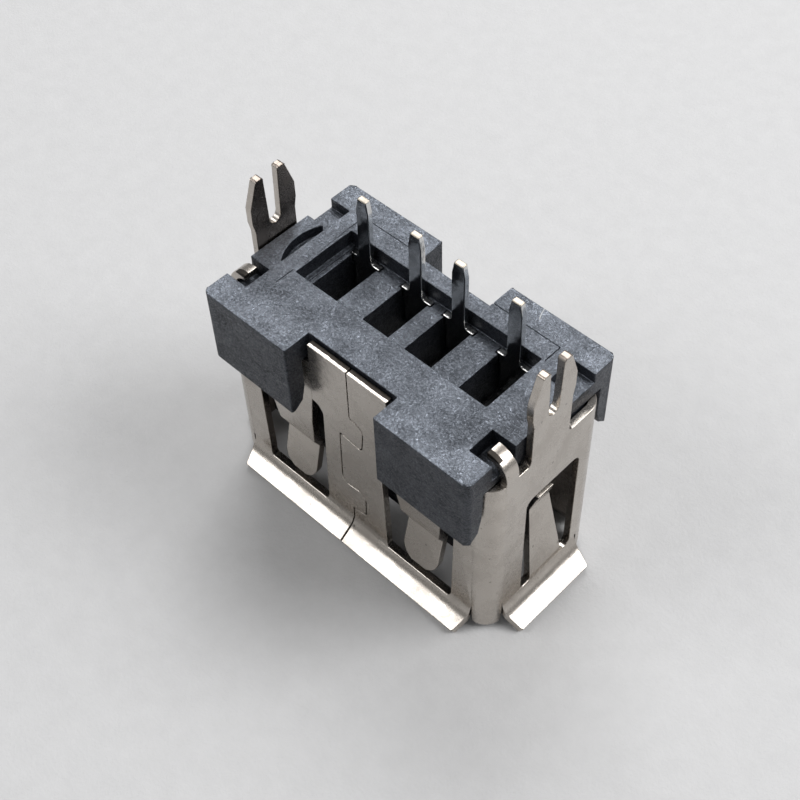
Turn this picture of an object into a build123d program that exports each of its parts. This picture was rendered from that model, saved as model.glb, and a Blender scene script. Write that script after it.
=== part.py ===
from build123d import *
import math
import os

os.makedirs("parts", exist_ok=True)

# All lengths are millimetres. X runs along the row of pins, the wall with the seam faces -Y,
# the mouth opens downwards at Z = 0 and the solder pins point up.

# Stamped shell, a tube of folded sheet
SHEET = 0.30
MOUTH_X = 12.50
MOUTH_Y = 5.12
MOUTH_CORNER_R = 0.50
WALL_TOP_Z = 8.75
COLUMN_END_Z = 0.28

# Raised centre of the front wall, between its corner ears
RAISED_TOP_Z = 9.72
RAISED_HALF = 1.86

# Flared lips round the mouth
FLARE_ANGLE = 55
FLARE_BEND_R = 0.84
FRONT_LIP_REACH = 0.82
FRONT_LIP_ROOT_HALF = 5.74
FRONT_LIP_TIP_HALF = 5.56
SIDE_LIP_REACH = 0.88
SIDE_LIP_ROOT_HALF = 2.03
SIDE_LIP_TIP_HALF = 1.88
LIP_CORNER_R = 0.12
LIP_SLIT = 0.06
COLUMN_CORNER_R = 0.20

# Closed seam in the middle of the front wall, with interlocking knobs
SEAM_GAP = 0.045
SEAM_PATH = [
    (0.00, 9.95),
    (-0.02, 7.26),
    (0.64, 7.14),
    (0.50, 5.80),
    (-0.58, 5.98),
    (-0.66, 2.98),
    (0.54, 3.10),
    (0.48, 1.78),
    (-0.18, 1.62),
    (-0.18, -0.50),
]
SEAM_RADII = [0.10, 0.42, 0.18, 0.12, 0.34, 0.36, 0.12, 0.10]

# Windows of the long walls, each with one spring finger that hangs from its top edge
WINDOW_Z0 = 0.92
WINDOW_Z1 = 6.72
WINDOW_IN_TOP = 1.38
WINDOW_IN_BOTTOM = 1.56
WINDOW_OUT_TOP = 4.91
WINDOW_OUT_BOTTOM = 4.77
WINDOW_TOP_R = 0.50
WINDOW_BOTTOM_R = 0.18
FINGER_X = 3.15
FINGER_ROOT_HALF = 1.25
FINGER_BEND_Z = 5.20
FINGER_WAIST_HALF = 1.04
FINGER_WAIST_Z = 4.72
FINGER_CREASE_HALF = 0.93
FINGER_CREASE_Z = 3.80
FINGER_CREASE_IN = 0.115
FINGER_VALLEY_Z = 3.20
FINGER_VALLEY_IN = 0.43
FINGER_PADDLE_HALF = 0.84
FINGER_PADDLE_R = 0.74
FINGER_TIP_Z = 1.22
FINGER_BEND_R = 0.20
FINGER_EDGE_R = 0.12

# Windows of the short walls, each with one tapered finger that stands on its bottom edge
SIDE_WINDOW_Y = 0.33
SIDE_WINDOW_HALF = 1.38
SIDE_WINDOW_Z0 = 1.20
SIDE_WINDOW_Z1 = 6.66
SIDE_WINDOW_TOP_R = 0.36
SIDE_WINDOW_BOTTOM_R = 0.16
SIDE_FINGER_ROOT_HALF = 0.89
SIDE_FINGER_CREST_HALF = 0.54
SIDE_FINGER_TIP_HALF = 0.43
SIDE_FINGER_TIP_R = 0.14
SIDE_FINGER_BEND_RISE = 0.20
SIDE_FINGER_BEND_R = 0.50
SIDE_FINGER_CREST_Z = 4.85
SIDE_FINGER_CREST_IN = 0.52
SIDE_FINGER_TIP_Z = 5.72
SIDE_FINGER_TIP_IN = 0.25

# Forked legs that lock in the board
LEG_Y = -0.04
LEG_STEM_HALF = 0.95
LEG_FOOT_Z = 8.30
LEG_SLOT_HALF = 0.26
LEG_SLOT_TOP_HALF = 0.33
LEG_SLOT_Z = 10.82
LEG_ROOT_R = 0.18
LEG_TIP_R = 0.11
LEG_BARB_HALF = 1.04
LEG_TIP_HALF = 0.67
LEG_TIP_Z = 12.88
LEG_OUTLINE = [
    (LEG_STEM_HALF, 10.65),
    (LEG_BARB_HALF, 11.10),
    (LEG_BARB_HALF, 11.78),
    (LEG_TIP_HALF, LEG_TIP_Z),
]

# Curled retaining hooks at the front ends of the short walls
HOOK_Y0 = -2.19
HOOK_Y1 = -1.60
HOOK_FOOT_Z = 8.40
HOOK_TOP_Z = 9.86
HOOK_CURL_R = 0.71
HOOK_ANGLE = 92

# Moulded housing
TOP_Z = 9.90
BLOCK_Z0 = 6.90
END_CLEAR = 0.05
WALL_CLEAR = 0.03
BLOCK_CORNER_R = 0.55
EAR_OUT_Y = 3.68
EAR_IN_GAP = 0.10
EAR_BRIDGE_CLEAR = 0.05
EAR_FRONT_HALF = 2.07
EAR_BACK_HALF = 1.63
EAR_FOOT_Z = 6.52
EAR_FOOT_Y = 3.50
EAR_LEAD_Y = 3.12
EAR_LEAD_Z = 6.82
EAR_LEAD_TOP_Z = 7.50
EAR_CORNER_R = 0.26
EAR_INNER_CORNER_R = 0.06
END_X = 5.22
HOOK_SIDE_GAP = 0.18
BACK_NOTCH_Y0 = 1.40
BACK_NOTCH_Y1 = 2.56
BACK_NOTCH_Z = 9.47
PIT_START_Y = -0.86
PIT_MID = (-5.67, 0.34)
PIT_END_Y = 1.65

# Sunk field round the four slots
FIELD_HALF_X = 4.46
FIELD_Y0 = -0.86
FIELD_Y1 = 1.89
FIELD_Z = 9.28
LEDGE_HALF_X = 4.27
LEDGE_Z = 9.21
SLOT_HALF = 0.61
INSERT_LINE_HALF_X = 4.60
INSERT_LINE_Y0 = -1.68
INSERT_LINE_Y1 = 2.68
INSERT_LINE_W = 0.04
INSERT_LINE_DEPTH = 0.02

# Tongue that carries the contacts
TONGUE_HALF_X = 5.55
TONGUE_Y0 = -1.86
TONGUE_Y1 = -0.02
TONGUE_END_Z = 1.80
TONGUE_LEAD = 0.35
GROOVE_Y0 = -0.54
GROOVE_END_Z = 2.20

# Four stamped contacts
PIN_X = [-3.50, -1.00, 1.00, 3.50]
PIN_Y = 1.69
STRIP = 0.25
PIN_TOP_Z = 12.17
PIN_TAPER_Z = 11.62
PIN_HALF = 0.30
PIN_TIP_HALF = 0.20
PIN_ROOT_R = 0.15
SHOULDER_HALF = 0.71
SHOULDER_Z1 = 9.24
SHOULDER_Z0 = 8.76
BLADE_HALF = 0.55
BEAM_HALF = 0.50
JOG_RISE = 0.22
JOG_R = 0.30
BEAM_REST = (-0.27, 6.20)
BEAM_CREST = (0.12, 4.30)
BEAM_TIP = (-0.27, 2.45)
BEAM_TIP_HALF = 0.36
SLIP = 0.03

# Lengths that follow from the ones above
HALF_IN_X = MOUTH_X / 2
HALF_IN_Y = MOUTH_Y / 2
HALF_OUT_X = HALF_IN_X + SHEET
HALF_OUT_Y = HALF_IN_Y + SHEET
MID_X = HALF_IN_X + SHEET / 2
MID_Y = HALF_IN_Y + SHEET / 2
BLOCK_HALF_X = HALF_IN_X - END_CLEAR
BLOCK_HALF_Y = HALF_IN_Y - WALL_CLEAR
HOOK_CENTRE_X = MID_X - HOOK_CURL_R
HOOK_CENTRE_Z = HOOK_TOP_Z - SHEET / 2 - HOOK_CURL_R
HOOK_FREE_R = HOOK_CURL_R - SHEET / 2 - WALL_CLEAR
FRONT_NOTCH_Y = HOOK_Y1 + HOOK_SIDE_GAP
FRONT_NOTCH_Z = HOOK_CENTRE_Z + math.sqrt(HOOK_FREE_R**2 - (BLOCK_HALF_X - HOOK_CENTRE_X) ** 2)
JOG_Z = BLOCK_Z0 + JOG_RISE
EAR_IN_Y = HALF_OUT_Y + EAR_IN_GAP
BRIDGE_Z = WALL_TOP_Z + EAR_BRIDGE_CLEAR
SLOT_Y1 = PIN_Y + STRIP / 2 + SLIP
FINGER_ROOT_Z = WINDOW_Z1 + SHEET / 2
SIDE_FINGER_ROOT_Z = SIDE_WINDOW_Z0 - SHEET / 4
SIDE_FINGER_BEND_Z = SIDE_WINDOW_Z0 + SIDE_FINGER_BEND_RISE
LEG_FOOT_HALF = LEG_STEM_HALF + LEG_ROOT_R + SHEET / 2
FAR = 20.0

# Outward is the plane's x direction, up is its y direction
FRONT_EDGE = Plane(origin=(0, 0, 0), x_dir=(0, -1, 0), z_dir=(-1, 0, 0))
SIDE_EDGE = Plane.XZ


def lip_straight(reach):
    # Length of the flat part beyond the bend
    bend_out = FLARE_BEND_R * (1 - math.cos(math.radians(FLARE_ANGLE)))
    return (reach - bend_out) / math.sin(math.radians(FLARE_ANGLE))


def lip_leave_z(reach):
    # Height at which the lip leaves its wall, so that its lowest edge stands on Z = 0
    bend_down = (FLARE_BEND_R + SHEET) * math.sin(math.radians(FLARE_ANGLE))
    return bend_down + lip_straight(reach) * math.cos(math.radians(FLARE_ANGLE))


def flared_lip(edge_plane, wall_mid, reach, root_half, tip_half):
    # One lip: its bent edge profile run along the wall, with slanted ends
    leave_z = lip_leave_z(reach)
    outer = wall_mid + SHEET / 2 + reach
    with BuildPart() as lip:
        with BuildSketch(edge_plane):
            with BuildLine():
                root = Line((wall_mid, leave_z + SHEET), (wall_mid, leave_z))
                bend = JernArc(
                    start=root @ 1,
                    tangent=root % 1,
                    radius=FLARE_BEND_R + SHEET / 2,
                    arc_size=FLARE_ANGLE,
                )
                PolarLine(start=bend @ 1, length=lip_straight(reach), direction=bend % 1)
            trace(line_width=SHEET)
        extrude(amount=root_half, both=True)
        with BuildSketch(Plane(origin=(0, 0, 0), x_dir=edge_plane.x_dir, z_dir=(0, 0, 1))):
            with BuildLine():
                Polyline(
                    (wall_mid - SHEET, root_half),
                    (wall_mid + SHEET, root_half),
                    (outer, tip_half),
                    (outer, -tip_half),
                    (wall_mid + SHEET, -root_half),
                    (wall_mid - SHEET, -root_half),
                    close=True,
                )
            make_face()
            fillet(vertices().group_by(Axis.X)[-1], radius=LIP_CORNER_R)
        extrude(amount=FAR, mode=Mode.INTERSECT)
    return lip.part


front_lip = flared_lip(FRONT_EDGE, MID_Y, FRONT_LIP_REACH, FRONT_LIP_ROOT_HALF, FRONT_LIP_TIP_HALF)
side_lip = flared_lip(SIDE_EDGE, MID_X, SIDE_LIP_REACH, SIDE_LIP_ROOT_HALF, SIDE_LIP_TIP_HALF)

# Spring finger of a long wall, bent inwards to a valley and back out to its tip
with BuildPart() as finger:
    with BuildSketch(FRONT_EDGE):
        with BuildLine():
            FilletPolyline(
                (MID_Y, FINGER_ROOT_Z),
                (MID_Y, FINGER_BEND_Z),
                (MID_Y - FINGER_CREASE_IN, FINGER_CREASE_Z),
                (MID_Y - FINGER_VALLEY_IN, FINGER_VALLEY_Z),
                (MID_Y, FINGER_TIP_Z),
                radius=FINGER_BEND_R,
            )
        trace(line_width=SHEET)
    extrude(amount=FINGER_ROOT_HALF, both=True)
    finger_edge = [
        (FINGER_ROOT_HALF, FINGER_ROOT_Z + SHEET),
        (FINGER_ROOT_HALF, FINGER_ROOT_Z),
        (FINGER_WAIST_HALF, FINGER_WAIST_Z),
        (FINGER_CREASE_HALF, FINGER_CREASE_Z),
        (FINGER_PADDLE_HALF, FINGER_VALLEY_Z),
        (FINGER_PADDLE_HALF, FINGER_TIP_Z),
    ]
    with BuildSketch(Plane.XZ):
        with BuildLine():
            Polyline(*finger_edge, *[(-x, z) for x, z in reversed(finger_edge)], close=True)
        make_face()
        fillet(vertices().group_by(Axis.Y)[0], radius=FINGER_PADDLE_R)
        fillet(vertices().filter_by_position(Axis.Y, FINGER_VALLEY_Z, FINGER_WAIST_Z), radius=FINGER_EDGE_R)
    extrude(amount=FAR, mode=Mode.INTERSECT)

# Spring finger of a short wall, leaning inwards to its crest and back out to its tip
with BuildPart() as side_finger:
    with BuildSketch(SIDE_EDGE):
        with BuildLine():
            FilletPolyline(
                (MID_X, SIDE_FINGER_ROOT_Z),
                (MID_X, SIDE_FINGER_BEND_Z),
                (MID_X - SIDE_FINGER_CREST_IN, SIDE_FINGER_CREST_Z),
                (MID_X - SIDE_FINGER_TIP_IN, SIDE_FINGER_TIP_Z),
                radius=SIDE_FINGER_BEND_R,
            )
        trace(line_width=SHEET)
    extrude(amount=SIDE_FINGER_ROOT_HALF, both=True)
    side_finger_edge = [
        (SIDE_FINGER_ROOT_HALF, SIDE_FINGER_ROOT_Z - SHEET),
        (SIDE_FINGER_ROOT_HALF, SIDE_FINGER_ROOT_Z),
        (SIDE_FINGER_CREST_HALF, SIDE_FINGER_CREST_Z),
        (SIDE_FINGER_TIP_HALF, SIDE_FINGER_TIP_Z),
    ]
    with BuildSketch(Plane.YZ):
        with BuildLine():
            Polyline(*side_finger_edge, *[(-y, z) for y, z in reversed(side_finger_edge)], close=True)
        make_face()
        fillet(vertices().group_by(Axis.Y)[-1], radius=SIDE_FINGER_TIP_R)
    extrude(amount=FAR, mode=Mode.INTERSECT)

# Forked leg
with BuildPart() as leg:
    with BuildSketch(Plane.YZ.offset(HALF_IN_X)):
        with BuildLine():
            Polyline(
                (LEG_FOOT_HALF, LEG_FOOT_Z),
                (LEG_FOOT_HALF, WALL_TOP_Z),
                (LEG_STEM_HALF, WALL_TOP_Z),
                *LEG_OUTLINE,
                *[(-y, z) for y, z in reversed(LEG_OUTLINE)],
                (-LEG_STEM_HALF, WALL_TOP_Z),
                (-LEG_FOOT_HALF, WALL_TOP_Z),
                (-LEG_FOOT_HALF, LEG_FOOT_Z),
                close=True,
            )
        make_face()
        with BuildLine():
            Polyline(
                (LEG_SLOT_TOP_HALF, LEG_TIP_Z),
                (LEG_SLOT_HALF, LEG_SLOT_Z),
                (-LEG_SLOT_HALF, LEG_SLOT_Z),
                (-LEG_SLOT_TOP_HALF, LEG_TIP_Z),
                close=True,
            )
        make_face(mode=Mode.SUBTRACT)
        with Locations((0, LEG_SLOT_Z)):
            Circle(LEG_SLOT_HALF, mode=Mode.SUBTRACT)
        fillet(vertices().group_by(Axis.Y)[-1], radius=LEG_TIP_R)
        at_root = vertices().filter_by_position(Axis.Y, WALL_TOP_Z - LEG_TIP_R, WALL_TOP_Z + LEG_TIP_R)
        fillet([v for v in at_root if abs(v.X) < LEG_FOOT_HALF - LEG_TIP_R], radius=LEG_ROOT_R)
    extrude(amount=SHEET)

# Curled hook
with BuildPart() as hook:
    with BuildSketch(Plane.XZ.offset(-HOOK_Y1)):
        with BuildLine():
            rise = Line(
                (MID_X, HOOK_FOOT_Z),
                (MID_X, HOOK_CENTRE_Z),
            )
            JernArc(start=rise @ 1, tangent=rise % 1, radius=HOOK_CURL_R, arc_size=HOOK_ANGLE)
        trace(line_width=SHEET)
    extrude(amount=HOOK_Y1 - HOOK_Y0)

with BuildPart() as shell:
    # Folded tube
    with BuildSketch(Plane.XY.offset(COLUMN_END_Z)):
        RectangleRounded(2 * HALF_OUT_X, 2 * HALF_OUT_Y, MOUTH_CORNER_R + SHEET)
        RectangleRounded(MOUTH_X, MOUTH_Y, MOUTH_CORNER_R, mode=Mode.SUBTRACT)
    extrude(amount=RAISED_TOP_Z - COLUMN_END_Z)

    # Top edge, left high only in the middle of the front wall
    with BuildSketch(Plane.XY.offset(WALL_TOP_Z)):
        Rectangle(FAR, FAR)
        with Locations((0, -MID_Y)):
            Rectangle(2 * RAISED_HALF, 2 * SHEET, mode=Mode.SUBTRACT)
    extrude(amount=FAR, mode=Mode.SUBTRACT)

    # Room for the lips, which leaves a rounded column at each corner
    with BuildSketch(Plane.XY):
        Rectangle(2 * (FRONT_LIP_ROOT_HALF + LIP_SLIT), FAR)
    extrude(amount=lip_leave_z(FRONT_LIP_REACH), mode=Mode.SUBTRACT)
    with BuildSketch(Plane.XY):
        Rectangle(FAR, 2 * (SIDE_LIP_ROOT_HALF + LIP_SLIT))
    extrude(amount=lip_leave_z(SIDE_LIP_REACH), mode=Mode.SUBTRACT)
    column_feet = edges().filter_by(GeomType.LINE).filter_by_position(
        Axis.Z, COLUMN_END_Z - LIP_SLIT, COLUMN_END_Z + LIP_SLIT
    )
    fillet(column_feet.filter_by(lambda edge: edge.length < 2 * SHEET), radius=COLUMN_CORNER_R)
    add(front_lip)
    add(mirror(front_lip, about=Plane.XZ, mode=Mode.PRIVATE))
    add(side_lip)
    add(mirror(side_lip, about=Plane.YZ, mode=Mode.PRIVATE))

    # Windows of the long walls
    with BuildSketch(Plane.XZ):
        with BuildLine():
            Polyline(
                (WINDOW_IN_BOTTOM, WINDOW_Z0),
                (WINDOW_OUT_BOTTOM, WINDOW_Z0),
                (WINDOW_OUT_TOP, WINDOW_Z1),
                (WINDOW_IN_TOP, WINDOW_Z1),
                close=True,
            )
        make_face()
        fillet(vertices().group_by(Axis.Y)[-1], radius=WINDOW_TOP_R)
        fillet(vertices().group_by(Axis.Y)[0], radius=WINDOW_BOTTOM_R)
        mirror(about=Plane.YZ)
    extrude(amount=FAR, both=True, mode=Mode.SUBTRACT)

    # Windows of the short walls
    with BuildSketch(Plane.YZ):
        with Locations((SIDE_WINDOW_Y, (SIDE_WINDOW_Z0 + SIDE_WINDOW_Z1) / 2)):
            Rectangle(2 * SIDE_WINDOW_HALF, SIDE_WINDOW_Z1 - SIDE_WINDOW_Z0)
        fillet(vertices().group_by(Axis.Y)[-1], radius=SIDE_WINDOW_TOP_R)
        fillet(vertices().group_by(Axis.Y)[0], radius=SIDE_WINDOW_BOTTOM_R)
    extrude(amount=FAR, both=True, mode=Mode.SUBTRACT)

    # Spring fingers
    for side in (-1, 1):
        right_hand = Pos(side * FINGER_X, 0, 0) * finger.part
        add(right_hand)
        add(mirror(right_hand, about=Plane.XZ, mode=Mode.PRIVATE))
    end_finger = Pos(0, SIDE_WINDOW_Y, 0) * side_finger.part
    add(end_finger)
    add(mirror(end_finger, about=Plane.YZ, mode=Mode.PRIVATE))

    # Legs and hooks
    right_leg = Pos(0, LEG_Y, 0) * leg.part
    add(right_leg)
    add(mirror(right_leg, about=Plane.YZ, mode=Mode.PRIVATE))
    add(hook.part)
    add(mirror(hook.part, about=Plane.YZ, mode=Mode.PRIVATE))

    # Seam
    with BuildSketch(Plane.XZ.offset(HALF_IN_Y - SHEET)):
        with BuildLine():
            FilletPolyline(*SEAM_PATH, radius=SEAM_RADII)
        trace(line_width=SEAM_GAP)
    extrude(amount=FRONT_LIP_REACH + 3 * SHEET, mode=Mode.SUBTRACT)

shell.part.label = "shell"
export_step(shell.part, "parts/shell.step")


def corner_ear(inner_x):
    # Ear of the +X +Y corner: over the wall's edge, down outside it, with a lead-in at the foot
    lap_y = BLOCK_HALF_Y - SHEET
    with BuildPart() as ear:
        with BuildSketch(Plane.YZ.offset(inner_x)):
            with BuildLine():
                Polyline(
                    (lap_y, TOP_Z),
                    (EAR_OUT_Y, TOP_Z),
                    (EAR_OUT_Y, EAR_FOOT_Z),
                    (EAR_FOOT_Y, EAR_FOOT_Z),
                    (EAR_LEAD_Y, EAR_LEAD_Z),
                    (EAR_IN_Y, EAR_LEAD_TOP_Z),
                    (EAR_IN_Y, BRIDGE_Z),
                    (lap_y, BRIDGE_Z),
                    close=True,
                )
            make_face()
        extrude(amount=BLOCK_HALF_X - inner_x)
        upright = edges().filter_by(Axis.Z).group_by(Axis.Y)[-1].sort_by(Axis.X)
        fillet(upright[0], radius=EAR_INNER_CORNER_R)
        upright = edges().filter_by(Axis.Z).group_by(Axis.Y)[-1].sort_by(Axis.X)
        fillet(upright[-1], radius=EAR_CORNER_R)
    return ear.part


back_ear = corner_ear(EAR_BACK_HALF)
front_ear = mirror(corner_ear(EAR_FRONT_HALF), about=Plane.XZ)

with BuildPart() as housing:
    # Block that fills the top of the tube
    with BuildSketch(Plane.XY.offset(BLOCK_Z0)):
        RectangleRounded(2 * BLOCK_HALF_X, 2 * BLOCK_HALF_Y, BLOCK_CORNER_R)
    extrude(amount=TOP_Z - BLOCK_Z0)
    with BuildSketch(Plane.XY.offset(BRIDGE_Z)):
        Rectangle(2 * BLOCK_HALF_X, 2 * BLOCK_HALF_Y)
    extrude(amount=TOP_Z - BRIDGE_Z)

    # Four corner ears
    for right_ear in (front_ear, back_ear):
        add(right_ear)
        add(mirror(right_ear, about=Plane.YZ, mode=Mode.PRIVATE))

    # Notches at both ends, open to the side
    with BuildSketch(Plane.XY.offset(FRONT_NOTCH_Z)):
        for side in (-1, 1):
            with Locations((side * (END_X + FAR / 2), (FRONT_NOTCH_Y - BLOCK_HALF_Y) / 2)):
                Rectangle(FAR, FRONT_NOTCH_Y + BLOCK_HALF_Y)
    extrude(amount=FAR, mode=Mode.SUBTRACT)
    with BuildSketch(Plane.XY.offset(BACK_NOTCH_Z)):
        for side in (-1, 1):
            with Locations((side * (END_X + FAR / 2), (BACK_NOTCH_Y0 + BACK_NOTCH_Y1) / 2)):
                Rectangle(FAR, BACK_NOTCH_Y1 - BACK_NOTCH_Y0)
        with BuildLine():
            curve = ThreePointArc((-END_X, PIT_START_Y), PIT_MID, (-END_X, PIT_END_Y))
            Line(curve @ 1, curve @ 0)
        make_face()
    extrude(amount=FAR, mode=Mode.SUBTRACT)

    # Sunk field and the fine lines left beside it
    with BuildSketch(Plane.XY.offset(FIELD_Z)):
        with Locations((0, (FIELD_Y0 + FIELD_Y1) / 2)):
            Rectangle(2 * FIELD_HALF_X, FIELD_Y1 - FIELD_Y0)
    extrude(amount=FAR, mode=Mode.SUBTRACT)
    with BuildSketch(Plane.XY.offset(LEDGE_Z)):
        with Locations((0, (FIELD_Y0 + FIELD_Y1) / 2)):
            Rectangle(2 * LEDGE_HALF_X, FIELD_Y1 - FIELD_Y0)
    extrude(amount=FAR, mode=Mode.SUBTRACT)
    with BuildSketch(Plane.XY.offset(TOP_Z - INSERT_LINE_DEPTH)):
        with BuildLine():
            Polyline(
                (-INSERT_LINE_HALF_X, FIELD_Y1),
                (-INSERT_LINE_HALF_X, INSERT_LINE_Y1),
                (INSERT_LINE_HALF_X, INSERT_LINE_Y1),
                (INSERT_LINE_HALF_X, FIELD_Y1),
            )
        trace(line_width=INSERT_LINE_W)
        with BuildLine():
            Line((-INSERT_LINE_HALF_X, FIELD_Y0), (-INSERT_LINE_HALF_X, INSERT_LINE_Y0))
        trace(line_width=INSERT_LINE_W)
    extrude(amount=FAR, mode=Mode.SUBTRACT)

    # Tongue with a tapered end
    with BuildSketch(Plane.XY.offset(TONGUE_END_Z)):
        with Locations((0, (TONGUE_Y0 + TONGUE_Y1) / 2)):
            Rectangle(2 * TONGUE_HALF_X, TONGUE_Y1 - TONGUE_Y0)
    extrude(amount=BLOCK_Z0 - TONGUE_END_Z)
    chamfer(faces().sort_by(Axis.Z)[0].edges(), length=TONGUE_LEAD)

    # Slots for the contacts, their shoulder seats and the grooves down the tongue
    with BuildSketch(Plane.XY.offset(GROOVE_END_Z)):
        for x in PIN_X:
            with Locations((x, (GROOVE_Y0 + SLOT_Y1) / 2)):
                Rectangle(2 * SLOT_HALF, SLOT_Y1 - GROOVE_Y0)
    extrude(amount=FAR, mode=Mode.SUBTRACT)
    with BuildSketch(Plane.XY.offset(SHOULDER_Z0 - SLIP)):
        for x in PIN_X:
            with Locations((x, PIN_Y)):
                Rectangle(2 * (SHOULDER_HALF + SLIP), STRIP + 2 * SLIP)
    extrude(amount=FAR, mode=Mode.SUBTRACT)

housing.part.label = "housing"
export_step(housing.part, "parts/housing.step")

# One contact: pin, shoulders and blade in one plane, then the spring beam along the tongue
with BuildPart() as contact:
    with BuildSketch(Plane.YZ):
        with BuildLine():
            FilletPolyline(
                (PIN_Y, PIN_TOP_Z),
                (PIN_Y, JOG_Z),
                (BEAM_REST[0], JOG_Z),
                BEAM_REST,
                radius=JOG_R,
            )
            ThreePointArc(BEAM_REST, BEAM_CREST, BEAM_TIP)
        trace(line_width=STRIP)
    extrude(amount=SHOULDER_HALF, both=True)
    half = [
        (PIN_TIP_HALF, PIN_TOP_Z),
        (PIN_HALF, PIN_TAPER_Z),
        (PIN_HALF, SHOULDER_Z1),
        (SHOULDER_HALF, SHOULDER_Z1),
        (SHOULDER_HALF, SHOULDER_Z0),
        (BLADE_HALF, SHOULDER_Z0),
        (BLADE_HALF, JOG_Z),
        (BEAM_HALF, JOG_Z - JOG_R),
        (BEAM_HALF, BEAM_CREST[1]),
        (BEAM_TIP_HALF, BEAM_TIP[1] - STRIP),
    ]
    with BuildSketch(Plane.XZ):
        with BuildLine():
            Polyline(*half, *[(-x, z) for x, z in reversed(half)], close=True)
        make_face()
        roots = [v for v in vertices() if abs(v.Y - SHOULDER_Z1) < SLIP and abs(v.X) < BEAM_HALF]
        fillet(roots, radius=PIN_ROOT_R)
    extrude(amount=FAR, both=True, mode=Mode.INTERSECT)

for number, x in enumerate(PIN_X, start=1):
    placed = Pos(x, 0, 0) * contact.part
    placed.label = f"contact_{number}"
    export_step(placed, f"parts/contact_{number}.step")
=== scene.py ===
import math

import bmesh
import bpy
from bpy.props import FloatProperty, FloatVectorProperty, PointerProperty
from mathutils import Matrix, Vector


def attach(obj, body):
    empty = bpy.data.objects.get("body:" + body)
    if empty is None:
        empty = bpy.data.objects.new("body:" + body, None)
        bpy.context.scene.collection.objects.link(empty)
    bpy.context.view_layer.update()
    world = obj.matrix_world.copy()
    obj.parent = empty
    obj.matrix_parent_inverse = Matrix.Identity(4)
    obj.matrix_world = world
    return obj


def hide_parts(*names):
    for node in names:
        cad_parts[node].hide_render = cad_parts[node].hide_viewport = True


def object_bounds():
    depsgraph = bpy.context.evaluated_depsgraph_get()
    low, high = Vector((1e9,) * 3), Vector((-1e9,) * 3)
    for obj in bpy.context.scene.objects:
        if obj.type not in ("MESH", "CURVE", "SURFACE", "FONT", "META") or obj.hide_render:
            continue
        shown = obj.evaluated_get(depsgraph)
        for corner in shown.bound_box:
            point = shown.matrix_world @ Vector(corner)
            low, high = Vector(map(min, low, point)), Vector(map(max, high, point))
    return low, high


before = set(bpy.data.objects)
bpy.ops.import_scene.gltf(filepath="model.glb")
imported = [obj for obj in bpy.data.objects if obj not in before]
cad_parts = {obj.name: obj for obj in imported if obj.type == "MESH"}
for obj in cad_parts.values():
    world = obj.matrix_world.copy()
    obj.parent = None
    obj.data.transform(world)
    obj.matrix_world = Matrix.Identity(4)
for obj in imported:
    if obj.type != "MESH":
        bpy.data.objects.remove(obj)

bl_info = {
    "name": "Upright board socket",
    "version": (1, 0, 0),
    "blender": (4, 5, 0),
    "location": "View3D > Sidebar > Socket",
    "description": "Plated shell, moulded housing and tinned contacts of an upright board socket",
    "category": "Object",
}

MM = 0.001
BODY = "root"
CAD_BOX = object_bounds()

# Limits for rounding the solids: two angles, a length, and a share of the rounding radius
CREASE = math.radians(32)
SAME_FLAT = math.radians(0.6)
WELD = 0.010 * MM
ROOM_FOR_ROUND = 0.6

# Sockets of the Mix node when it mixes colours
MIX_SHARE, MIX_FIRST, MIX_SECOND, MIX_RESULT = 0, 6, 7, 2


def top_of(node_name):
    # Highest level of a solid in millimetres, as the finishes count it
    return max(vertex.co.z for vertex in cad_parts[node_name].data.vertices) / MM


# Places on the part in millimetres
LEG_TOP = top_of("shell")
PLATE_TOP = top_of("housing")
PIN_TOP = top_of("contact_1")
SHEARED_DEPTH = 0.04
HOOK_LOW_Z = PLATE_TOP - 1.10
HOOK_BACK_Y = -1.3
TORN_LOW_Z = PLATE_TOP - 0.20
TORN_FRONT_Y = -2.74
TORN_BACK_Y = -2.0
TORN_WANDER = 0.03
GROOVE_LOW_Z = PLATE_TOP - 0.030
GROOVE_HIGH_Z = PLATE_TOP - 0.008
STRIP_HALF_Y = 2.2
EAR_START_Y = 3.0
SCRATCH_CENTRE = (4.51, 3.91, PLATE_TOP)
SCRATCH_RADIUS = 1.43
SCRATCH_MIDDLE = (3.17, 3.43, PLATE_TOP)

# Colours and shades that the settings leave alone
SPECK_COLOUR = (0.12, 0.11, 0.10)
# Painted shade for the inner side of the sheet
INNER_SHADE_COLOUR = (0.15, 0.125, 0.105)
TORN_COLOUR = (0.035, 0.030, 0.026)
LEG_TIP_COLOUR = (0.24, 0.20, 0.17)
PIN_TIP_COLOUR = (0.24, 0.20, 0.15)
DUST_COLOUR = (0.10, 0.105, 0.12)
SCRATCH_COLOUR = (0.40, 0.39, 0.37)
GLOSS_TINT = (0.80, 0.875, 1.0)
BACKDROP_COLOUR = (0.76, 0.76, 0.77)
DULL_TIN = 0.72
DEEP_CARD = 0.955

# Stage, in metres
BACK_BOX_PLACE = (-0.075, 0.090, 0.150)
LEFT_BOX_PLACE = (-0.095, -0.125, 0.150)
RIGHT_BOX_PLACE = (0.130, 0.105, 0.160)
BACK_BOX_SIDE = 0.095
LEFT_BOX_SIDE = 0.100
RIGHT_BOX_SIDE = 0.130
RIGHT_BOX_SHARE = 2.75
NEAR_CLIP = 0.002
FAR_CLIP = 10.0
SENSOR_WIDTH_IN_MM = 36.0


# Sizes and colours that a user would change


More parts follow.
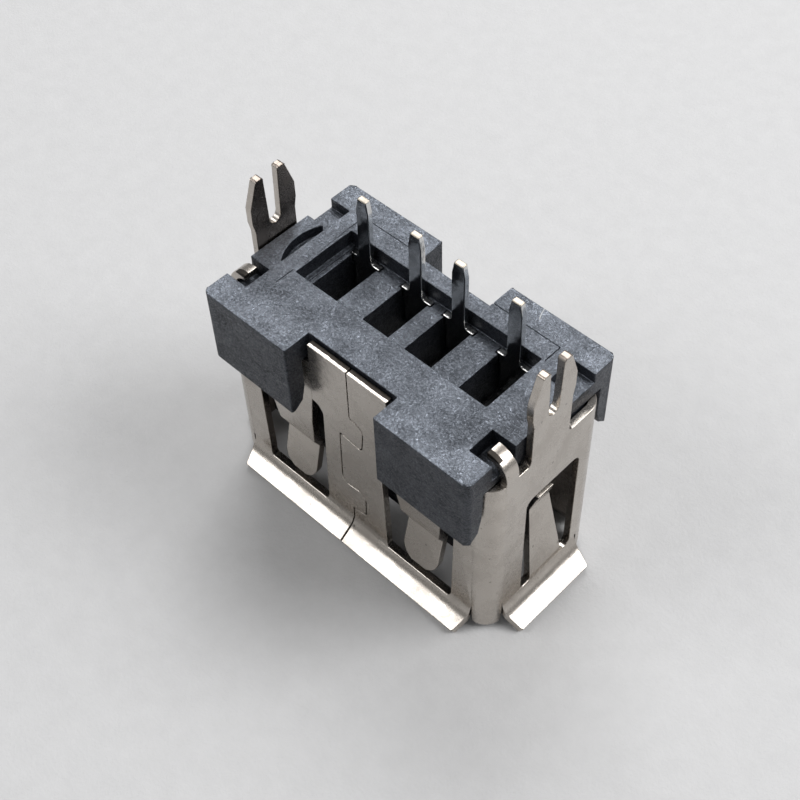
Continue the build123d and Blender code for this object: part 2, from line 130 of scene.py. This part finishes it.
class ShellFinish(bpy.types.PropertyGroup):
    edge: FloatProperty(
        name="Edge round",
        description="Radius left by the press tool on every cut edge of the sheet",
        default=0.030 * MM,
        min=0.0,
        unit="LENGTH",
        precision=6,
    )
    colour: FloatVectorProperty(
        name="Plate colour",
        description="Bright nickel plate",
        default=(0.54, 0.50, 0.455),
        subtype="COLOR",
        size=3,
        min=0.0,
        max=1.0,
    )
    stain: FloatVectorProperty(
        name="Stain colour",
        description="Cloudy patches where the plate is thinner",
        default=(0.39, 0.355, 0.32),
        subtype="COLOR",
        size=3,
        min=0.0,
        max=1.0,
    )
    roughness: FloatProperty(
        name="Roughness",
        description="Roughness of the plate, which its clouds and grain vary a little",
        default=0.24,
        subtype="FACTOR",
        min=0.0,
        max=1.0,
    )


class HousingFinish(bpy.types.PropertyGroup):
    edge: FloatProperty(
        name="Edge round",
        description="Radius of the moulded edges",
        default=0.035 * MM,
        min=0.0,
        unit="LENGTH",
        precision=6,
    )
    colour: FloatVectorProperty(
        name="Resin colour",
        description="Dark blue-grey resin",
        default=(0.004, 0.005, 0.007),
        subtype="COLOR",
        size=3,
        min=0.0,
        max=1.0,
    )
    streak: FloatVectorProperty(
        name="Streak colour",
        description="Flow streaks where the glass filler lies at the surface",
        default=(0.018, 0.020, 0.027),
        subtype="COLOR",
        size=3,
        min=0.0,
        max=1.0,
    )
    roughness: FloatProperty(
        name="Roughness",
        description="Mean roughness of the moulded skin",
        default=0.38,
        subtype="FACTOR",
        min=0.0,
        max=1.0,
    )


class ContactFinish(bpy.types.PropertyGroup):
    edge: FloatProperty(
        name="Edge round",
        description="Radius left on the edges of the stamped strip",
        default=0.045 * MM,
        min=0.0,
        unit="LENGTH",
        precision=6,
    )
    colour: FloatVectorProperty(
        name="Tin colour",
        description="Bright tin plate",
        default=(0.70, 0.70, 0.69),
        subtype="COLOR",
        size=3,
        min=0.0,
        max=1.0,
    )
    roughness: FloatProperty(
        name="Roughness",
        description="Roughness of the tin, which its clouds vary a little",
        default=0.12,
        subtype="FACTOR",
        min=0.0,
        max=1.0,
    )


class StageSettings(bpy.types.PropertyGroup):
    floor_colour: FloatVectorProperty(
        name="Floor colour",
        description="Pale card under the part",
        default=(0.60, 0.60, 0.605),
        subtype="COLOR",
        size=3,
        min=0.0,
        max=1.0,
    )
    floor_size: FloatProperty(
        name="Floor size",
        description="Side of the square floor",
        default=0.40,
        unit="LENGTH",
    )
    key_power: FloatProperty(
        name="Key power",
        description="Power of the soft box above and behind, in watts",
        default=0.16,
        min=0.0,
    )
    fill_power: FloatProperty(
        name="Fill power",
        description="Power of the left soft box, in watts, which the right one multiplies",
        default=0.13,
        min=0.0,
    )
    room_light: FloatProperty(
        name="Room light",
        description="Strength of the even light from all round",
        default=0.29,
        min=0.0,
    )
    camera_azimuth: FloatProperty(
        name="Camera azimuth",
        description="Turn of the camera round the part, from the side with the seam",
        default=math.radians(45.541),
        subtype="ANGLE",
    )
    camera_elevation: FloatProperty(
        name="Camera elevation",
        description="Height of the camera above the horizon",
        default=math.radians(51.439),
        subtype="ANGLE",
    )
    camera_roll: FloatProperty(
        name="Camera roll",
        description="Roll of the camera about its own line of sight",
        default=math.radians(-2.283),
        subtype="ANGLE",
    )
    camera_place: FloatVectorProperty(
        name="Camera place",
        description="Where the camera stands",
        default=(22.200 * MM, -22.155 * MM, 45.017 * MM),
        subtype="TRANSLATION",
        unit="LENGTH",
        size=3,
        precision=6,
    )
    camera_lens: FloatProperty(
        name="Camera lens",
        description="Focal length on a 36 mm wide frame, in millimetres",
        default=62.386,
        min=1.0,
    )


# Short calls for laying out the nodes of a material


def new_material(name):
    material = bpy.data.materials.new(name)
    material.use_nodes = True
    tree = material.node_tree
    tree.nodes.clear()
    output = tree.nodes.new("ShaderNodeOutputMaterial")
    shader = tree.nodes.new("ShaderNodeBsdfPrincipled")
    tree.links.new(shader.outputs["BSDF"], output.inputs["Surface"])
    return material, tree, shader


def wire(tree, target, value):
    # Joins a socket to an input, or writes a constant on it
    if isinstance(value, bpy.types.NodeSocket):
        tree.links.new(value, target)
        return
    held = target.default_value
    if hasattr(held, "__len__") and len(held) == 4 and len(value) == 3:
        value = (*value, 1.0)
    target.default_value = value


def node(tree, kind, options=None, **inputs):
    made = tree.nodes.new("ShaderNode" + kind)
    for key, value in (options or {}).items():
        setattr(made, key, value)
    for key, value in inputs.items():
        wire(tree, made.inputs[key.replace("_", " ")], value)
    return made


def math_node(tree, operation, *values):
    made = node(tree, "Math", {"operation": operation})
    for target, value in zip(made.inputs, values):
        wire(tree, target, value)
    return made.outputs[0]


def vector_node(tree, operation, *values):
    made = node(tree, "VectorMath", {"operation": operation})
    for target, value in zip(made.inputs, values):
        wire(tree, target, value)
    return made.outputs


def above(tree, value, limit):
    return math_node(tree, "GREATER_THAN", value, limit)


def below(tree, value, limit):
    return math_node(tree, "LESS_THAN", value, limit)


def times(tree, first, *others):
    for other in others:
        first = math_node(tree, "MULTIPLY", first, other)
    return first


def times_plus(tree, value, factor, added):
    return math_node(tree, "MULTIPLY_ADD", value, factor, added)


def rest_of(tree, share):
    return math_node(tree, "SUBTRACT", 1.0, share)


def remap(tree, value, low, high, to_low=0.0, to_high=1.0):
    made = node(tree, "MapRange", {"clamp": True}, Value=value)
    made.inputs["From Min"].default_value = low
    made.inputs["From Max"].default_value = high
    made.inputs["To Min"].default_value = to_low
    made.inputs["To Max"].default_value = to_high
    return made.outputs["Result"]


def layered(tree, colour, *layers):
    # Lays colours over each other, each given with the share that it covers
    for share, tint in layers:
        mix = node(tree, "Mix", {"data_type": "RGBA", "clamp_factor": True})
        wire(tree, mix.inputs[MIX_SHARE], share)
        wire(tree, mix.inputs[MIX_FIRST], colour)
        wire(tree, mix.inputs[MIX_SECOND], tint)
        colour = mix.outputs[MIX_RESULT]
    return colour


def stretched(tree, vector, scale):
    made = node(tree, "Mapping", Vector=vector)
    made.inputs["Scale"].default_value = scale
    return made.outputs["Vector"]


def place(tree, scale=(1.0, 1.0, 1.0)):
    # Object coordinates counted in millimetres, times a factor along each axis
    where = node(tree, "TexCoord").outputs["Object"]
    return stretched(tree, where, [factor / MM for factor in scale])


def along_axes(tree, vector):
    return node(tree, "SeparateXYZ", Vector=vector).outputs


def face_normal(tree):
    return node(tree, "NewGeometry").outputs["Normal"]


def cloud(tree, vector, scale, detail=4.0, rough=0.5, distortion=0.0):
    return node(
        tree,
        "TexNoise",
        Vector=vector,
        Scale=scale,
        Detail=detail,
        Roughness=rough,
        Distortion=distortion,
    ).outputs["Fac"]


def relief(tree, shader, *layers):
    # Lays bumps over each other, each a pattern with its full height in metres
    surface = None
    for pattern, height in layers:
        bump = node(tree, "Bump", Height=pattern, Strength=1.0, Distance=height)
        if surface is not None:
            wire(tree, bump.inputs["Normal"], surface)
        surface = bump.outputs["Normal"]
    wire(tree, shader.inputs["Normal"], surface)


# Nickel plate of the shell


def plate_specks(tree, even):
    # Dark pits, wider in some stretches and missing in others
    distance = node(
        tree,
        "TexVoronoi",
        {"feature": "F1", "distance": "EUCLIDEAN"},
        Vector=even,
        Scale=2.7,
        Randomness=1.0,
    ).outputs["Distance"]
    width = remap(tree, cloud(tree, even, 3.1, detail=2.0), 0.48, 0.72, 0.0, 0.20)
    return below(tree, distance, width)


def inner_side(tree, even):
    # The side of the sheet that faces the part's upright axis, where shade is painted
    outward = vector_node(tree, "MULTIPLY", even, (1.0, 1.0, 0.0))[0]
    facing = vector_node(tree, "DOT_PRODUCT", outward, face_normal(tree))["Value"]
    return below(tree, facing, -1.0)


def curled_hooks(tree, where):
    return times(tree, above(tree, where["Z"], HOOK_LOW_Z), below(tree, where["Y"], HOOK_BACK_Y))


def torn_edge(tree, where, clouds):
    # The inner half of the raised top edge is torn rather than sheared, and so dull
    wander = remap(tree, clouds, 0.30, 0.70, -TORN_WANDER, TORN_WANDER)
    inner_half = above(tree, math_node(tree, "ADD", where["Y"], wander), TORN_FRONT_Y)
    raised = above(tree, where["Z"], TORN_LOW_Z)
    return times(tree, inner_half, raised, below(tree, where["Y"], TORN_BACK_Y))


def nickel_plate(settings):
    material, tree, shader = new_material("nickel_plate")
    even = place(tree)
    where = along_axes(tree, even)
    clouds = cloud(tree, even, 0.9, detail=5.0, rough=0.6)
    grain = cloud(tree, even, 26.0, detail=3.0, rough=0.65)
    draw_lines = cloud(tree, place(tree, (1.6, 1.6, 22.0)), 2.0, rough=0.7)
    speck = plate_specks(tree, even)
    torn = torn_edge(tree, where, clouds)
    # Painted shade: the inner side of the sheet is darkened, except on the hooks
    painted_inner_shade = times(tree, inner_side(tree, even), rest_of(tree, curled_hooks(tree, where)), 0.85)
    # The sheared tips of the forked legs are duller and warmer than the plate
    tips = above(tree, where["Z"], LEG_TOP - SHEARED_DEPTH)
    colour = layered(
        tree,
        settings.colour,
        (remap(tree, clouds, 0.42, 0.70, 0.0, 0.55), settings.stain),
        (remap(tree, grain, 0.35, 0.75, 0.0, 0.30), settings.stain),
        (times(tree, speck, 0.55), SPECK_COLOUR),
        (painted_inner_shade, INNER_SHADE_COLOUR),
        (times(tree, torn, 0.95), TORN_COLOUR),
        (times(tree, tips, 0.8), LEG_TIP_COLOUR),
    )
    wire(tree, shader.inputs["Base Color"], colour)
    shader.inputs["Metallic"].default_value = 1.0
    mean = settings.roughness
    worn = times_plus(tree, torn, 0.30, remap(tree, clouds, 0.30, 0.75, mean - 0.05, mean + 0.10))
    uneven = remap(tree, grain, 0.3, 0.8, -0.04, 0.08)
    wire(tree, shader.inputs["Roughness"], math_node(tree, "ADD", worn, uneven))
    relief(
        tree,
        shader,
        (cloud(tree, even, 1.3, detail=2.0), 0.020 * MM),
        (draw_lines, 0.0018 * MM),
        (grain, 0.0016 * MM),
        (rest_of(tree, speck), 0.006 * MM),
    )
    return material


# Dark resin of the housing


def swirled(tree, even):
    # Coordinates bent by a slow cloud, so that what follows them curls as the resin flowed
    bend = node(tree, "TexNoise", Vector=even, Scale=1.1, Detail=3.0, Roughness=0.6)
    return vector_node(tree, "MULTIPLY_ADD", bend.outputs["Color"], (0.9, 0.9, 0.9), even)[0]


def flow_ridges(tree, flow):
    # Thin curved lines along the middle level of a cloud
    level = cloud(tree, flow, 1.4)
    off = math_node(tree, "ABSOLUTE", times_plus(tree, level, 2.0, -1.0))
    return remap(tree, off, 0.05, 0.0)


def short_fibres(tree, even, flow):
    # Fibres that lie along one axis in some patches and along the other elsewhere
    across = cloud(tree, stretched(tree, flow, (1.0, 6.0, 6.0)), 2.6, detail=3.0, rough=0.62)
    along = cloud(tree, stretched(tree, flow, (6.0, 1.0, 6.0)), 2.6, detail=3.0, rough=0.62)
    turned = remap(tree, cloud(tree, even, 0.8, detail=1.0), 0.44, 0.56)
    return times_plus(tree, along, turned, times(tree, across, rest_of(tree, turned)))


def ear_scratch(tree, even):
    # One short curved scratch on the rear right ear
    from_centre = vector_node(tree, "DISTANCE", even, SCRATCH_CENTRE)["Value"]
    from_middle = vector_node(tree, "DISTANCE", even, SCRATCH_MIDDLE)["Value"]
    off = math_node(tree, "ABSOLUTE", math_node(tree, "SUBTRACT", from_centre, SCRATCH_RADIUS))
    return times(tree, remap(tree, off, 0.030, 0.008), remap(tree, from_middle, 0.33, 0.22))


def resin_gloss(tree, even, share):
    where = along_axes(tree, even)
    upward = along_axes(tree, face_normal(tree))["Z"]
    # Painted sheen by facing: level faces keep the full gloss, while faces drawn along the mould
    # keep little of it and stay dark
    level = remap(tree, upward, 0.35, 0.90, 0.22, 1.0)
    # The gloss is raised on the broad ears and lowered on the strip between them
    aside = math_node(tree, "ABSOLUTE", where["Y"])
    ears = remap(tree, aside, STRIP_HALF_Y, EAR_START_Y, 0.92, 1.22)
    # Painted shade: the gloss is taken off the floor of the fine line round the moulded insert
    painted_groove_shade = times(
        tree,
        above(tree, upward, 0.97),
        above(tree, where["Z"], GROOVE_LOW_Z),
        below(tree, where["Z"], GROOVE_HIGH_Z),
    )
    filler = remap(tree, share, 0.0, 1.0, 0.32, 1.62)
    return times(tree, filler, level, ears, rest_of(tree, painted_groove_shade))


def dark_resin(settings):
    material, tree, shader = new_material("dark_resin")
    even = place(tree)
    flow = swirled(tree, even)
    patches = cloud(tree, flow, 1.0, detail=5.0, rough=0.62, distortion=0.4)
    fine = cloud(tree, even, 13.0, detail=5.0, rough=0.72, distortion=0.8)
    dust = cloud(tree, even, 38.0, detail=2.0, rough=0.6)
    fibres = remap(tree, short_fibres(tree, even, flow), 0.47, 0.62)
    lines = math_node(tree, "MAXIMUM", times(tree, flow_ridges(tree, flow), 0.6), fibres)
    lines = times(tree, lines, remap(tree, fine, 0.38, 0.54))
    share = times(tree, remap(tree, patches, 0.36, 0.66), 0.30)
    share = times_plus(tree, remap(tree, fine, 0.44, 0.59), 0.34, share)
    share = times_plus(tree, lines, 0.48, share)
    colour = layered(
        tree,
        settings.colour,
        (share, settings.streak),
        (remap(tree, dust, 0.62, 0.76, 0.0, 0.24), DUST_COLOUR),
        (ear_scratch(tree, even), SCRATCH_COLOUR),
    )
    wire(tree, shader.inputs["Base Color"], colour)
    mean = settings.roughness
    rough = remap(tree, share, 0.05, 0.95, mean + 0.12, mean - 0.12)
    wire(tree, shader.inputs["Roughness"], rough)
    wire(tree, shader.inputs["Specular IOR Level"], resin_gloss(tree, even, share))
    wire(tree, shader.inputs["Specular Tint"], GLOSS_TINT)
    shader.inputs["IOR"].default_value = 1.95
    relief(
        tree,
        shader,
        (patches, 0.022 * MM),
        (lines, 0.0070 * MM),
        (fine, 0.018 * MM),
        (dust, 0.004 * MM),
    )
    return material


# Tin of the contacts and card of the floor


def bright_tin(settings):
    material, tree, shader = new_material("bright_tin")
    even = place(tree)
    clouds = cloud(tree, even, 1.6, rough=0.6)
    lines = cloud(tree, place(tree, (14.0, 14.0, 0.9)), 2.0, rough=0.7)
    grain = cloud(tree, even, 30.0, detail=3.0)
    dull = tuple(DULL_TIN * channel for channel in settings.colour)
    # The sheared end of each pin shows the warm alloy under the tin
    sheared = times(tree, above(tree, along_axes(tree, even)["Z"], PIN_TOP - SHEARED_DEPTH), 0.8)
    colour = layered(
        tree,
        settings.colour,
        (remap(tree, clouds, 0.42, 0.72, 0.0, 0.6), dull),
        (sheared, PIN_TIP_COLOUR),
    )
    wire(tree, shader.inputs["Base Color"], colour)
    shader.inputs["Metallic"].default_value = 1.0
    mean = settings.roughness
    rough = remap(tree, clouds, 0.35, 0.75, mean - 0.03, mean + 0.10)
    wire(tree, shader.inputs["Roughness"], times_plus(tree, sheared, 0.25, rough))
    relief(
        tree,
        shader,
        (cloud(tree, even, 1.9, detail=1.0), 0.030 * MM),
        (lines, 0.0020 * MM),
        (grain, 0.0010 * MM),
    )
    return material


def pale_card(settings):
    material, tree, shader = new_material("pale_card")
    even = place(tree)
    pulp = cloud(tree, even, 1.1, detail=5.0, rough=0.6)
    fibre = cloud(tree, even, 6.0, rough=0.65)
    deep = tuple(DEEP_CARD * channel for channel in settings.floor_colour)
    colour = layered(tree, settings.floor_colour, (remap(tree, pulp, 0.35, 0.70), deep))
    wire(tree, shader.inputs["Base Color"], colour)
    shader.inputs["Roughness"].default_value = 0.75
    shader.inputs["Specular IOR Level"].default_value = 0.25
    relief(tree, shader, (fibre, 0.020 * MM))
    return material


# Rounded copies of the solids


def clean_solid(node_name):
    # Joins the points that neighbouring faces share and drops slivers, so that edges can be rounded
    solid = bmesh.new()
    solid.from_mesh(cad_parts[node_name].data)
    bmesh.ops.remove_doubles(solid, verts=solid.verts, dist=WELD)
    bmesh.ops.dissolve_degenerate(solid, edges=solid.edges, dist=WELD)
    return solid


def flat_region(start):
    # Faces joined to the given one that lie flat with it
    region = {start}
    front = [start]
    while front:
        for edge in front.pop().edges:
            for other in edge.link_faces:
                if other not in region and other.normal.angle(start.normal, math.pi) < SAME_FLAT:
                    region.add(other)
                    front.append(other)
    return region


def flat_areas(solid):
    # Gives each face the area of the flat region that it belongs to
    area_of = {}
    for start in solid.faces:
        if start not in area_of:
            region = flat_region(start)
            area_of.update(dict.fromkeys(region, sum(face.calc_area() for face in region)))
    return area_of


def smooth_fan(face, vertex, rounds):
    # Faces round a corner point that shade as one surface with the given face
    fan = {face}
    front = [face]
    while front:
        here = front.pop()
        for edge in here.edges:
            if vertex not in edge.verts or not edge.is_manifold:
                continue
            other = next(each for each in edge.link_faces if each is not here)
            joined = here in rounds or other in rounds or edge.calc_face_angle() < CREASE
            if joined and other not in fan:
                fan.add(other)
                front.append(other)
    return fan


def shading_normals(solid, rounds):
    # One normal for each corner of each face. The widest flat of its fan leads it, and the rounded
    # edges count only where the fan holds nothing else
    area_of = flat_areas(solid)
    weight_of = {
        corner: area_of[face] * corner.calc_angle() for face in solid.faces for corner in face.loops
    }
    normals = []
    for face in solid.faces:
        for loop in face.loops:
            fan = smooth_fan(face, loop.vert, rounds)
            leading = [other for other in fan if other not in rounds] or fan
            total = Vector()
            for other in leading:
                corner = next(each for each in other.loops if each.vert == loop.vert)
                total += other.normal * weight_of[corner]
            normals.append(total.normalized() if total.length > 0.0 else face.normal.copy())
    return normals


def room_beside(edge):
    # Height of the lower of the two triangles that stand on an edge
    return min(2 * face.calc_area() / edge.calc_length() for face in edge.link_faces)


def sharp_edges(solid, radius):
    return [
        edge
        for edge in solid.edges
        if edge.is_manifold
        and edge.calc_face_angle() > CREASE
        and room_beside(edge) > ROOM_FOR_ROUND * radius
    ]


def round_edges(solid, edges, radius, segments):
    return bmesh.ops.bevel(
        solid,
        geom=edges,
        offset=radius,
        offset_type="OFFSET",
        segments=segments,
        profile=0.5,
        affect="EDGES",
        clamp_overlap=False,
        miter_outer="ARC",
        miter_inner="SHARP",
    )["faces"]


def rounded_piece(node_name, name, material, radius, segments):
    solid = clean_solid(node_name)
    rounds = round_edges(solid, sharp_edges(solid, radius), radius, segments)
    bmesh.ops.recalc_face_normals(solid, faces=solid.faces)
    normals = shading_normals(solid, set(rounds))
    mesh = bpy.data.meshes.new(name)
    solid.to_mesh(mesh)
    solid.free()
    mesh.shade_smooth()
    mesh.normals_split_custom_set(normals)
    mesh.materials.append(material)
    piece = bpy.data.objects.new(name, mesh)
    bpy.context.scene.collection.objects.link(piece)
    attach(piece, BODY)
    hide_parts(node_name)


class OBJECT_OT_socket_shell(bpy.types.Operator):
    """Round the cut edges of the folded shell and plate it"""

    bl_idname = "object.socket_shell"
    bl_label = "Plated shell"
    bl_options = {"REGISTER", "UNDO"}

    def execute(self, context):
        finish = context.scene.socket_shell
        plate = nickel_plate(finish)
        rounded_piece("shell", "shell_plated", plate, finish.edge, segments=2)
        return {"FINISHED"}


class OBJECT_OT_socket_housing(bpy.types.Operator):
    """Round the moulded edges of the housing and give it its resin"""

    bl_idname = "object.socket_housing"
    bl_label = "Moulded housing"
    bl_options = {"REGISTER", "UNDO"}

    def execute(self, context):
        finish = context.scene.socket_housing
        resin = dark_resin(finish)
        rounded_piece(
            "housing", "housing_moulded", resin, finish.edge, segments=3
        )
        return {"FINISHED"}


class OBJECT_OT_socket_contacts(bpy.types.Operator):
    """Round the edges of the four stamped contacts and tin them"""

    bl_idname = "object.socket_contacts"
    bl_label = "Tinned contacts"
    bl_options = {"REGISTER", "UNDO"}

    def execute(self, context):
        finish = context.scene.socket_contacts
        tin = bright_tin(finish)
        for number in range(1, 5):
            contact = f"contact_{number}"
            rounded_piece(
                contact, f"{contact}_tinned", tin, finish.edge, segments=3
            )
        return {"FINISHED"}


# Floor, light and camera


def soft_box(name, place_at, aim_at, side, power):
    lamp = bpy.data.lights.new(name, "AREA")
    lamp.shape = "SQUARE"
    lamp.size = side
    lamp.energy = power
    box = bpy.data.objects.new(name, lamp)
    box.location = place_at
    aim = Vector(aim_at) - Vector(place_at)
    box.rotation_euler = aim.to_track_quat("-Z", "Y").to_euler()
    bpy.context.scene.collection.objects.link(box)


class SCENE_OT_socket_stage(bpy.types.Operator):
    """Lay the floor, hang the soft boxes and stand the camera at the photograph's angle"""

    bl_idname = "scene.socket_stage"
    bl_label = "Stage, light and camera"
    bl_options = {"REGISTER", "UNDO"}

    def execute(self, context):
        settings = context.scene.socket_stage
        self.lay_floor(settings)
        self.hang_lights(settings)
        self.light_room(context.scene, settings)
        self.stand_camera(context.scene, settings)
        return {"FINISHED"}

    def lay_floor(self, settings):
        half = settings.floor_size / 2
        sheet = bmesh.new()
        corners = ((-half, -half), (half, -half), (half, half), (-half, half))
        sheet.faces.new([sheet.verts.new((x, y, 0.0)) for x, y in corners])
        mesh = bpy.data.meshes.new("floor")
        sheet.to_mesh(mesh)
        sheet.free()
        mesh.materials.append(pale_card(settings))
        floor = bpy.data.objects.new("floor", mesh)
        bpy.context.scene.collection.objects.link(floor)

    def hang_lights(self, settings):
        centre = (CAD_BOX[0] + CAD_BOX[1]) / 2
        key, fill = settings.key_power, settings.fill_power
        soft_box("back_box", BACK_BOX_PLACE, centre, BACK_BOX_SIDE, key)
        soft_box("left_box", LEFT_BOX_PLACE, centre, LEFT_BOX_SIDE, fill)
        soft_box("right_box", RIGHT_BOX_PLACE, centre, RIGHT_BOX_SIDE, RIGHT_BOX_SHARE * fill)

    def light_room(self, scene, settings):
        # An even white light from all round, where the camera itself sees a grey backdrop
        world = bpy.data.worlds.new("room")
        world.use_nodes = True
        tree = world.node_tree
        tree.nodes.clear()
        output = tree.nodes.new("ShaderNodeOutputWorld")
        light = node(tree, "Background", Color=(1.0, 1.0, 1.0), Strength=settings.room_light)
        backdrop = node(tree, "Background", Color=BACKDROP_COLOUR, Strength=1.0)
        seen = node(tree, "MixShader")
        for target, value in zip(
            seen.inputs,
            (
                node(tree, "LightPath").outputs["Is Camera Ray"],
                light.outputs["Background"],
                backdrop.outputs["Background"],
            ),
        ):
            wire(tree, target, value)
        wire(tree, output.inputs["Surface"], seen.outputs["Shader"])
        scene.world = world

    def stand_camera(self, scene, settings):
        azimuth = settings.camera_azimuth
        elevation = settings.camera_elevation
        roll = settings.camera_roll
        back = Vector(
            (
                math.sin(azimuth) * math.cos(elevation),
                -math.cos(azimuth) * math.cos(elevation),
                math.sin(elevation),
            )
        )
        level = Vector((0.0, 0.0, 1.0)).cross(back).normalized()
        upright = back.cross(level)
        right = math.cos(roll) * level + math.sin(roll) * upright
        up = -math.sin(roll) * level + math.cos(roll) * upright
        lens = bpy.data.cameras.new("camera")
        lens.sensor_width = SENSOR_WIDTH_IN_MM
        lens.lens = settings.camera_lens
        lens.clip_start = NEAR_CLIP
        lens.clip_end = FAR_CLIP
        camera = bpy.data.objects.new("camera", lens)
        turn = Matrix((right, up, back)).transposed().to_4x4()
        camera.matrix_world = Matrix.Translation(Vector(settings.camera_place)) @ turn
        scene.collection.objects.link(camera)
        scene.camera = camera


class VIEW3D_PT_socket(bpy.types.Panel):
    """Lists the steps that finish the socket"""

    bl_label = "Socket"
    bl_idname = "VIEW3D_PT_socket"
    bl_space_type = "VIEW_3D"
    bl_region_type = "UI"
    bl_category = "Socket"

    def draw(self, context):
        for group, operator in STEPS:
            box = self.layout.box()
            settings = getattr(context.scene, group)
            for key in settings.__annotations__:
                box.prop(settings, key)
            box.operator(operator)


GROUPS = {
    "socket_shell": ShellFinish,
    "socket_housing": HousingFinish,
    "socket_contacts": ContactFinish,
    "socket_stage": StageSettings,
}
STEPS = [
    ("socket_shell", "object.socket_shell"),
    ("socket_housing", "object.socket_housing"),
    ("socket_contacts", "object.socket_contacts"),
    ("socket_stage", "scene.socket_stage"),
]
CLASSES = [
    *GROUPS.values(),
    OBJECT_OT_socket_shell,
    OBJECT_OT_socket_housing,
    OBJECT_OT_socket_contacts,
    SCENE_OT_socket_stage,
    VIEW3D_PT_socket,
]


def register():
    for each in CLASSES:
        bpy.utils.register_class(each)
    for name, group in GROUPS.items():
        setattr(bpy.types.Scene, name, PointerProperty(type=group))


def unregister():
    for name in GROUPS:
        delattr(bpy.types.Scene, name)
    for each in reversed(CLASSES):
        bpy.utils.unregister_class(each)


def main():
    register()
    bpy.ops.object.socket_shell()
    bpy.ops.object.socket_housing()
    bpy.ops.object.socket_contacts()
    bpy.ops.scene.socket_stage()
    bpy.context.scene.view_settings.view_transform = "Standard"


if __name__ == "__main__":
    main()
